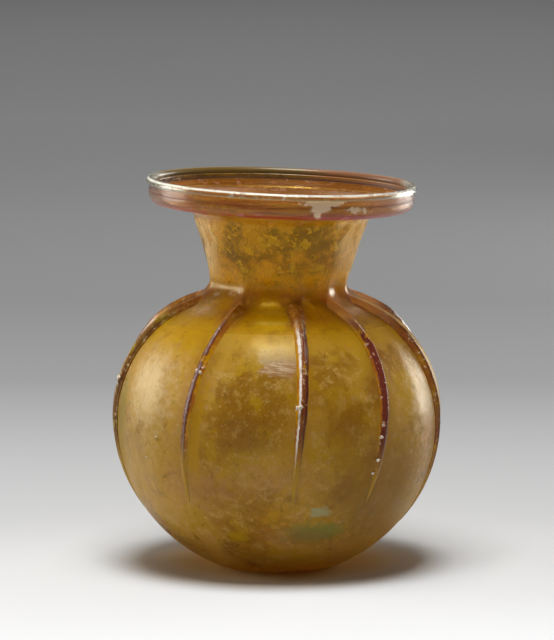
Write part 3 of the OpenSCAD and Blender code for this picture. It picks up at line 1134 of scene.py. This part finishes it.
@dataclass
class BlownWall:
    """Base, ball, shoulder, neck and dished flange, blown in one."""

    form: FlaskForm = FlaskForm()
    turner: TurnedWall = TurnedWall()
    air: float = 0.02
    dome_deg: float = 71.8
    inner_dome_deg: float = 73.4
    floor_edge_z: float = 4.6
    scar_r: float = 5.2
    scar_w: float = 0.45
    scar_h: float = 0.4
    ease_w: float = 1.9
    ease_rounds: int = 60

    def build(self) -> bpy.types.Object:
        """Make the wall and stand it in for its nodes.

        Returns:
            The wall.
        """
        form = self.form
        ring_deg = -math.degrees(math.asin(form.mid_z / form.body_r))
        outer = self.kick() + [form.on_wall(up) for up in np.linspace(ring_deg, self.dome_deg, 104)]
        outer += form.neck_curve(0.0) + form.under_flange()[1:]
        dish = form.over_flange()[::-1]
        for line, edge in ((outer, -1), (dish, 0)):
            line[edge] = (line[edge][0] - self.air, line[edge][1])
        inner_r = form.body_r - form.wall
        start = math.degrees(math.asin((self.floor_edge_z - form.mid_z) / inner_r))
        wall = [form.on_wall(up, form.wall) for up in np.linspace(self.inner_dome_deg, start, 76)]
        edge_r = math.sqrt(inner_r ** 2 - (form.mid_z - self.floor_edge_z) ** 2)
        sag = self.floor_edge_z - form.base_t
        floor_r = (edge_r ** 2 + sag ** 2) / (2 * sag)
        floor = [(r, form.base_t + floor_r - math.sqrt(floor_r ** 2 - r * r)) for r in np.linspace(edge_r, 0.0, 20)]
        inner = dish + form.neck_curve(form.neck_wall)[::-1][1:] + wall + floor[1:]
        piece = self.turner.build("blown_wall", self.eased(outer), inner)
        piece.data.materials.append(WallGlass("wall_glass_finish").material())
        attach(piece, "root")
        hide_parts("base_disc", "body_lower", "body_shoulder", "neck_foot", "neck_funnel", "mouth_flange")
        return piece

    def kick(self) -> list[Pair]:
        """Draw the shallow hollow under the base with its ring scar.

        Returns:
            Radius and height, from the axis out.
        """
        form = self.form
        reach = (form.kick_r ** 2 + form.kick_depth ** 2) / (2 * form.kick_depth)
        line = []
        for r in np.linspace(0.0, form.kick_r, 26):
            high = form.kick_depth - reach + math.sqrt(reach ** 2 - r * r)
            scar = self.scar_h * math.exp(-((r - self.scar_r) / self.scar_w) ** 2)
            line.append((float(r), high - scar))
        return line

    def eased(self, line: Sequence[Pair]) -> list[Pair]:
        """Round off the pinched turn between the dome and the neck.

        Args:
            line: The outer line.

        Returns:
            The eased line.
        """
        points = np.array(line, dtype=float)
        for _ in range(self.ease_rounds):
            middle = (points[:-2] + points[2:]) / 2
            near = np.exp(-(((points[1:-1, 1] - self.form.waist_z) / self.ease_w) ** 2))[:, None]
            points[1:-1] += (middle - points[1:-1]) * 0.5 * near
        return [tuple(p) for p in points]


@dataclass
class Mouth:
    """Collar folded up round the dish, and its rounded lip."""

    form: FlaskForm = FlaskForm()
    turner: TurnedWall = TurnedWall()
    air: float = 0.02

    def build(self) -> list[bpy.types.Object]:
        """Make the two pieces and stand them in for their nodes.

        Returns:
            The collar and the lip.
        """
        collar = self.turner.build("collar", self.collar_outer(), self.collar_inner())
        lip = self.turner.build("lip", self.lip_line(), [])
        for piece, node, slot, finish in ((collar, "collar_wall", "collar_glass", CollarGlass),
                                          (lip, "lip_roll", "lip_glass", LipGlass)):
            piece.data.materials.append(finish(f"{slot}_finish").material())
            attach(piece, "root")
            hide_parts(node)
        return [collar, lip]

    def collar_outer(self) -> list[Pair]:
        """Give the collar's outer face, from the flange up to the lip."""
        form = self.form
        mid_r, mid_z = form.collar_r - form.collar_turn_r, form.collar_foot_z + form.collar_turn_r
        start = -math.acos((form.collar_in_r - mid_r) / form.collar_turn_r)
        arc = [(mid_r + form.collar_turn_r * math.cos(a), mid_z + form.collar_turn_r * math.sin(a))
               for a in np.linspace(start, 0.0, 16)]
        return arc + [(form.collar_r, float(z)) for z in np.linspace(mid_z, form.lip_seat_z - self.air, 12)[1:]]

    def collar_inner(self) -> list[Pair]:
        """Give the collar's inner face, from the lip down to the flange."""
        form = self.form
        return [(form.collar_in_r, float(z))
                for z in np.linspace(form.lip_seat_z - self.air, form.flange_edge_z, 16)[:-1]]

    def lip_line(self) -> list[Pair]:
        """Give the lip's round, closed by its flat seat."""
        form = self.form
        start = math.asin(-0.5)
        return [(form.mouth_r - form.lip_r + form.lip_r * math.cos(a), form.lip_z + form.lip_r * math.sin(a))
                for a in np.linspace(start, math.pi - start, 32)]


@dataclass
class PinchedRibs:
    """Ten ribs that the pincers drew out of the hot wall, each along its own line."""

    form: FlaskForm = FlaskForm()
    rings: int = 170
    sides: int = 26
    sunk: float = 0.05

    def build(self) -> bpy.types.Object:
        """Make the ribs with a geometry tree and stand them in for their nodes.

        Returns:
            All ribs, as one piece.
        """
        seeds = self.seed_points()
        finish = RibGlass().material()
        tree, keys = self.tree(finish)
        modifier = seeds.modifiers.new("ribs", "NODES")
        modifier.node_group = tree
        for name, value in self.sizes().items():
            modifier[keys[name]] = value
        bpy.context.view_layer.update()
        shown = seeds.evaluated_get(bpy.context.evaluated_depsgraph_get())
        mesh = bpy.data.meshes.new_from_object(shown)
        seeds.modifiers.clear()
        bpy.data.objects.remove(seeds)
        piece = finish_mesh("ribs", mesh)
        if not piece.data.materials:
            piece.data.materials.append(finish)
        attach(piece, "root")
        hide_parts(*[f"rib_{number:02d}" for number in range(1, len(RIB_LINES) + 1)])
        return piece

    def sizes(self) -> dict[str, Any]:
        """Give the tree's named inputs."""
        form = self.form
        return {"Rings": self.rings, "Sides": self.sides, "Body radius": form.body_r, "Middle height": form.mid_z,
                "Turn radius": form.turn_r, "Turn out": form.turn_out, "Turn angle": form.turn_deg,
                "Top radius": form.top_r, "Top height": form.top_z, "Start angle": form.rib_top_deg,
                "Rib height": form.rib_h, "Rib width": form.rib_w, "Lobe width": form.rib_lobe_w,
                "Sunk": self.sunk, "Seed": 7.0}

    def seed_points(self) -> bpy.types.Object:
        """Make one point for each rib, which carries its line.

        Returns:
            The points' object.
        """
        mesh = bpy.data.meshes.new("rib_lines")
        mesh.from_pydata([(0.0, 0.0, 0.0)] * len(RIB_LINES), [], [])
        rows = [{**asdict(line), "plum_at": line.plum_at.value, "pale_at": line.pale_at.value,
                 "foot_deg": self.form.foot_deg(line.foot_z), "number": number}
                for number, line in enumerate(RIB_LINES)]
        add_marks(mesh, {label: [row[label] for row in rows] for label in rows[0] if label != "foot_z"})
        seeds = bpy.data.objects.new("rib_lines", mesh)
        bpy.context.scene.collection.objects.link(seeds)
        return seeds

    def tree(self, finish: bpy.types.Material) -> tuple[bpy.types.NodeTree, dict[str, str]]:
        """Build the tree that bends a rod into each rib.

        Args:
            finish: The ribs' material.

        Returns:
            The tree, and its inputs' identifiers by name.
        """
        tree = bpy.data.node_groups.new("pinched_ribs", "GeometryNodeTree")
        tree.interface.new_socket(name="Geometry", in_out="OUTPUT", socket_type="NodeSocketGeometry")
        tree.interface.new_socket(name="Geometry", in_out="INPUT", socket_type="NodeSocketGeometry")
        keys: dict[str, str] = {}
        for name, value in self.sizes().items():
            kind = "NodeSocketInt" if isinstance(value, int) else "NodeSocketFloat"
            keys[name] = tree.interface.new_socket(name=name, in_out="INPUT", socket_type=kind).identifier
        graph = Graph(tree)
        given = graph.node("NodeGroupInput")

        def size(name: str) -> Socket:
            """Read one named input."""
            return Socket(graph, given.outputs[name])

        def mark(label: str) -> Socket:
            """Read one attribute of the points."""
            return graph.out("GeometryNodeInputNamedAttribute", {"data_type": "FLOAT"}, {"Name": label})

        rod = graph.out("GeometryNodeMeshCylinder", {"fill_type": "NGON"}, {
            "Vertices": size("Sides"), "Side Segments": size("Rings"), "Radius": 1.0, "Depth": 1.0})
        place = graph.out("GeometryNodeInputPosition")
        side_share, rise_share, length_share = graph.parts(place)
        for label, value in (("across", side_share), ("along", length_share + 0.5), ("lift", rise_share)):
            rod = graph.out("GeometryNodeStoreNamedAttribute", {"data_type": "FLOAT", "domain": "POINT"},
                            {"Geometry": rod, "Name": label, "Value": value})
        copies = graph.out("GeometryNodeInstanceOnPoints", None,
                           {"Points": size("Geometry"), "Instance": rod})
        whole = graph.out("GeometryNodeRealizeInstances", None, {"Geometry": copies})
        along, across, lift = mark("along"), mark("across"), mark("lift")
        rad = math.radians(1)
        up_deg = graph.blend(along, size("Start angle"), mark("foot_deg"))
        sway = mark("sway") * graph.math("SINE", along * math.pi)
        turn = (graph.blend(along, mark("top_turn"), mark("foot_turn")) + sway) * rad
        seed = graph.combine(mark("number") * 3.7 + size("Seed"), along * 14.0, 0.0)
        uneven = graph.out("ShaderNodeTexNoise", None, {"Vector": seed, "Scale": 1.0, "Detail": 3.0}) - 0.5
        early = graph.math("MAXIMUM", 1.0 - along / 0.25, 0.0)
        half = (size("Rib width") * (1.0 - 0.25 * along) + (size("Lobe width") - size("Rib width")) * early * early) / 2
        tip = graph.math("SQRT", graph.math("MAXIMUM", 1.0 - along ** 10.0, 0.0004))
        half = half * tip * (1.0 + 0.35 * uneven)
        climb = 0.3 + 0.7 * graph.math("SINE", graph.math("MINIMUM", along / 0.3, 1.0) * (math.pi / 2))
        height = size("Rib height") * climb * (graph.math("MAXIMUM", 1.0 - along, 0.0) ** 0.8) * (1.0 + 0.25 * uneven)
        ridge = graph.math("COSINE", across * (math.pi / 2))
        sharp = graph.math("EXPONENT", (across / 0.26) * (across / 0.26) * -1.0)
        profile = 0.7 * ridge + 0.3 * sharp
        above = lift > 0.0
        rise = above * height * profile + (1.0 - above) * lift * 0.3 - size("Sunk")
        is_low = up_deg < 0.0
        is_top = up_deg > size("Turn angle")
        is_turn = (1.0 - is_low) * (1.0 - is_top)
        mid_out = is_turn * size("Turn out")
        mid_z = is_top * size("Top height") + (1.0 - is_top) * size("Middle height")
        reach = is_low * size("Body radius") + is_turn * size("Turn radius") + is_top * size("Top radius") + rise
        angle = up_deg * rad
        out = mid_out + reach * graph.math("COSINE", angle)
        high = mid_z + reach * graph.math("SINE", angle)
        side = across * half
        sin_turn, cos_turn = graph.math("SINE", turn), graph.math("COSINE", turn)
        target = graph.combine(out * sin_turn + side * cos_turn, side * sin_turn - out * cos_turn, high)
        whole = graph.out("GeometryNodeSetPosition", None,
                          {"Geometry": whole, "Position": graph.scaled(target, MM)})
        whole = graph.out("GeometryNodeSetMaterial", None, {"Geometry": whole, "Material": finish})
        graph.node("NodeGroupOutput", None, {"Geometry": whole})
        return tree, keys


@dataclass
class CrustFlakes:
    """Small flakes of crust on the ribs, the collar and the base."""

    form: FlaskForm = FlaskForm()
    seed: int = 11
    # Middle and size of each flake
    spots: tuple[tuple[Point, float], ...] = (
        ((-15.9, -26.9, 43.6), 0.75), ((-15.4, -26.6, 44.3), 0.5), ((4.2, -33.9, 37.2), 0.7), ((4.6, -33.8, 37.5), 0.5),
        ((-32.6, -6.8, 39.5), 0.8), ((-32.8, -6.6, 38.3), 0.6),
        ((21.3, -27.1, 32.7), 0.4), ((20.9, -27.3, 30.3), 0.45), ((20.2, -27.2, 25.6), 0.45),
        ((19.2, -27.0, 22.9), 0.4), ((-24.6, -23.9, 29.8), 0.22), ((-26.6, -20.6, 25.2), 0.25),
        ((-20.9, 15.0, 77.7), 0.7), ((-19.3, 17.0, 78.0), 0.5), ((-22.4, 12.6, 78.2), 0.5), ((-24.9, 6.6, 78.4), 0.55),
        ((-0.1, -14.3, 0.75), 0.5), ((0.9, -14.3, 0.75), 0.45), ((-9.6, -12.2, 1.6), 0.4), ((-8.9, -12.7, 1.6), 0.35),
    )

    def build(self) -> bpy.types.Object:
        """Make the flakes.

        Returns:
            All flakes, as one piece.
        """
        rng = np.random.default_rng(self.seed)
        work = bmesh.new()
        for middle, size in self.spots:
            made = bmesh.ops.create_icosphere(work, subdivisions=3, radius=1.0)
            away = Vector((middle[0], middle[1], (middle[2] - self.form.mid_z) * 0.8)).normalized()
            turn = away.to_track_quat("Z", "Y")
            shift = rng.normal(0, 1, 3)
            for vert in made["verts"]:
                lump = 1 + 0.3 * math.sin(3.1 * vert.co.x + shift[0]) * math.cos(2.7 * vert.co.y + shift[1])
                lump += 0.12 * math.sin(9 * vert.co.x + 7 * vert.co.y + shift[2])
                flat = Vector((vert.co.x * size * lump, vert.co.y * size * 0.7 * lump, vert.co.z * size * 0.4))
                vert.co = (Vector(middle) + turn @ flat) * MM
        mesh = bpy.data.meshes.new("crust_flakes")
        work.to_mesh(mesh)
        work.free()
        piece = finish_mesh("crust_flakes", mesh)
        piece.data.materials.append(Crust().material())
        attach(piece, "root")
        return piece


# Studio


@dataclass(frozen=True)
class Lamp:
    """One soft lamp of the studio, in metres and watts."""

    name: str
    place: Point
    aim: Point
    width: float
    height: float
    power: float


@dataclass
class Studio:
    """Pale floor, soft lamps and the camera at the photograph's place."""

    focal_px: float = 4894.0
    image_h: int = 640
    camera_place: Point = (-0.00013, -1.0, 0.18434)
    pitch: float = -0.1331
    world_level: float = 0.06
    backdrop: Colour = (0.2, 0.2, 0.2, 1.0)
    lamps: tuple[Lamp, ...] = (
        Lamp("left_lamp", (-0.6, 0.18, 0.17), (0.0, 0.0, 0.04), 0.36, 0.3, 2.3),
        Lamp("right_lamp", (0.5, 0.48, 0.1), (0.0, 0.0, 0.04), 0.36, 0.3, 3.0),
        Lamp("top_lamp", (-0.02, -0.09, 0.8), (0.0, 0.0, 0.03), 0.34, 0.34, 9.2),
        Lamp("back_lamp", (0.0, 1.5, 0.9), (0.0, 1.5, 0.0), 1.0, 1.0, 4.0),
    )
    # Depth behind the flask in metres, and the grey of the floor there: painted light falloff, darker where the pool of
    # light ends
    greys: tuple[Pair, ...] = (
        (-0.9, 138), (-0.25, 204), (-0.10, 207), (-0.02, 191), (0.05, 170), (0.14, 158), (0.26, 136), (0.42, 134),
        (0.62, 150), (1.0, 168), (1.8, 156))

    def build(self) -> None:
        """Set up the camera, the lamps, the world and the floor."""
        scene = bpy.context.scene
        scene.view_settings.view_transform = "Standard"
        self.add_camera(scene)
        for lamp in self.lamps:
            self.add_lamp(scene, lamp)
        world = bpy.data.worlds.new("studio")
        scene.world = world
        world.use_nodes = True
        graph = Graph(world.node_tree)
        sky = graph.out("ShaderNodeBackground", None, {"Color": (0.9, 0.9, 0.9, 1.0), "Strength": self.world_level})
        seen = graph.out("ShaderNodeBackground", None, {"Color": self.backdrop, "Strength": 1.0})
        path = graph.node("ShaderNodeLightPath")
        rays = [Socket(graph, path.outputs[f"Is {kind} Ray"]) for kind in ("Camera", "Glossy", "Transmission")]
        share = graph.limit(sum(rays))
        whole = graph.out("ShaderNodeMixShader", None, {0: share, 1: sky, 2: seen})
        graph.node("ShaderNodeOutputWorld", None, {"Surface": whole})
        self.add_floor(scene)

    def add_camera(self, scene: bpy.types.Scene) -> None:
        """Place the camera at the photograph's viewing angle."""
        data = bpy.data.cameras.new("camera")
        data.sensor_fit = "VERTICAL"
        data.sensor_height = 36.0
        data.lens = 36.0 * self.focal_px / self.image_h
        data.clip_start = 0.01
        data.clip_end = 30.0
        camera = bpy.data.objects.new("camera", data)
        camera.location = self.camera_place
        camera.rotation_euler = (math.pi / 2 + self.pitch, 0.0, 0.0)
        scene.collection.objects.link(camera)
        scene.camera = camera

    def add_lamp(self, scene: bpy.types.Scene, lamp: Lamp) -> None:
        """Hang one soft lamp."""
        data = bpy.data.lights.new(lamp.name, "AREA")
        data.shape = "RECTANGLE"
        data.size, data.size_y, data.energy = lamp.width, lamp.height, lamp.power
        hung = bpy.data.objects.new(lamp.name, data)
        hung.location = lamp.place
        aim = Vector(lamp.aim) - Vector(lamp.place)
        hung.rotation_euler = aim.to_track_quat("-Z", "Y").to_euler()
        scene.collection.objects.link(hung)

    def add_floor(self, scene: bpy.types.Scene) -> None:
        """Lay the pale floor, which darkens away from the flask as the photograph's does, as painted light falloff,
        with a painted amber glow round the base.
        """
        mesh = bpy.data.meshes.new("floor")
        mesh.from_pydata([(-3, -1.2, 0), (3, -1.2, 0), (3, 5, 0), (-3, 5, 0)], [], [(0, 1, 2, 3)])
        floor = bpy.data.objects.new("floor", mesh)
        scene.collection.objects.link(floor)
        made, graph = new_material("floor_finish")
        coords = graph.out("ShaderNodeTexCoord", output="Object")
        depth = graph.parts(coords)[1]
        low, high = self.greys[0][0], self.greys[-1][0]
        share = graph.math("DIVIDE", depth - low, high - low, clamp=True)
        stops = [((place - low) / (high - low), shade(grey, grey, grey)) for place, grey in self.greys]
        tone = graph.out("ShaderNodeValToRGB", {"stops": stops}, {0: share})
        away = graph.vector("LENGTH", coords, output=1)
        # painted light: an amber tint round the base that stands in for light coming through the glass
        painted_caustic = away.fade(0.036, 0.014) * 0.8
        tone = graph.mix(painted_caustic, tone, graph.mix(1.0, tone, (1.0, 0.58, 0.08, 1.0), "MULTIPLY"))
        matt = graph.out("ShaderNodeBsdfDiffuse", None, {"Color": tone})
        graph.node("ShaderNodeOutputMaterial", None, {"Surface": matt})
        mesh.materials.append(made)


def main() -> None:
    """Build the flask over its frame, dress it and light it."""
    logging.basicConfig(level=logging.INFO, format="%(name)s: %(message)s")
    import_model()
    pieces: list[bpy.types.Object] = [BlownWall().build()]
    pieces += Mouth().build()
    pieces.append(PinchedRibs().build())
    pieces.append(CrustFlakes().build())
    Studio().build()
    for piece in pieces:
        LOG.info("%s: %d faces", piece.name, len(piece.data.polygons))
    bpy.context.view_layer.update()


if __name__ == "__main__":
    main()
